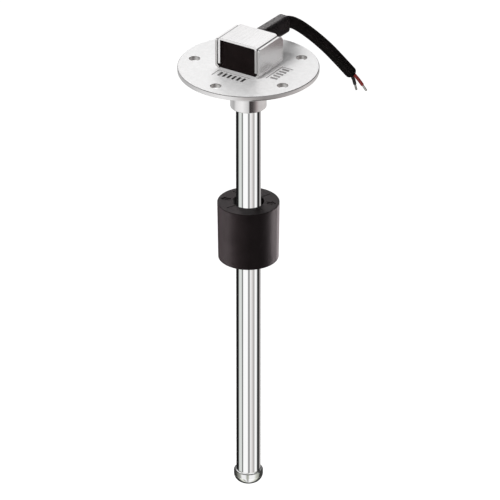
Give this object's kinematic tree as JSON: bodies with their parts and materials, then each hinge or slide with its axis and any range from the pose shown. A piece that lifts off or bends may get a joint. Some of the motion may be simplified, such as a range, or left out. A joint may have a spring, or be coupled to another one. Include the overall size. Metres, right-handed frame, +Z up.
{
  "type": "fuel level switch",
  "caption": "Stem-type fuel level switch: round screw-hole flange with a potted head and cable above, and a polished stem below with a float that slides between the neck and an end cap.",
  "frame": {"origin": "centre of the flange's underside, on the stem's axis", "axes": "+Z up along the stem, out of the tank; +X to the right and +Y away as the picture shows it"},
  "size_m": [0.0931, 0.1219, 0.2454],
  "materials": {
    "cast_steel": "satin cast stainless",
    "polished_steel": "mirror-polished stainless",
    "sheet_steel": "brushed folded sheet",
    "potting": "satin black resin",
    "boot_rubber": "matt moulded",
    "cable_sheath": "satin extruded",
    "signal_core": "satin insulation",
    "ground_core": "satin insulation",
    "tinned_wire": "tinned copper",
    "board": "solder-masked laminate",
    "reed_glass": "clear drawn glass",
    "resistor": "moulded chip",
    "inner_plastic": "natural moulded",
    "seal_rubber": "matt",
    "float_foam": "satin moulded nitrile",
    "magnet": "sintered ferrite"
  },
  "bodies": {
    "sender": {"flange": "cast_steel", "stem_tube": "polished_steel", "end_cap": "polished_steel", "head_base": "sheet_steel", "head_cover": "sheet_steel", "head_block": "potting", "cable_boot": "boot_rubber", "cable": "cable_sheath", "signal_lead": "signal_core", "ground_lead": "ground_core", "signal_lead_tip": "tinned_wire", "ground_lead_tip": "tinned_wire", "signal_wire": "signal_core", "ground_wire": "ground_core", "reed_board": "board", "reed_capsules": "reed_glass", "reed_wires": "tinned_wire", "ladder_resistors": "resistor", "board_foot": "inner_plastic", "board_seal": "seal_rubber"},
    "float": {"float_body": "float_foam", "float_magnet": "magnet", "magnet_plug": "float_foam"}
  },
  "joints": [
    {"name": "float_slide", "type": "slide", "parent": "sender", "child": "float", "axis": [0, 0, 1], "range_m": [-0.11905, 0.05125]}
  ]
}
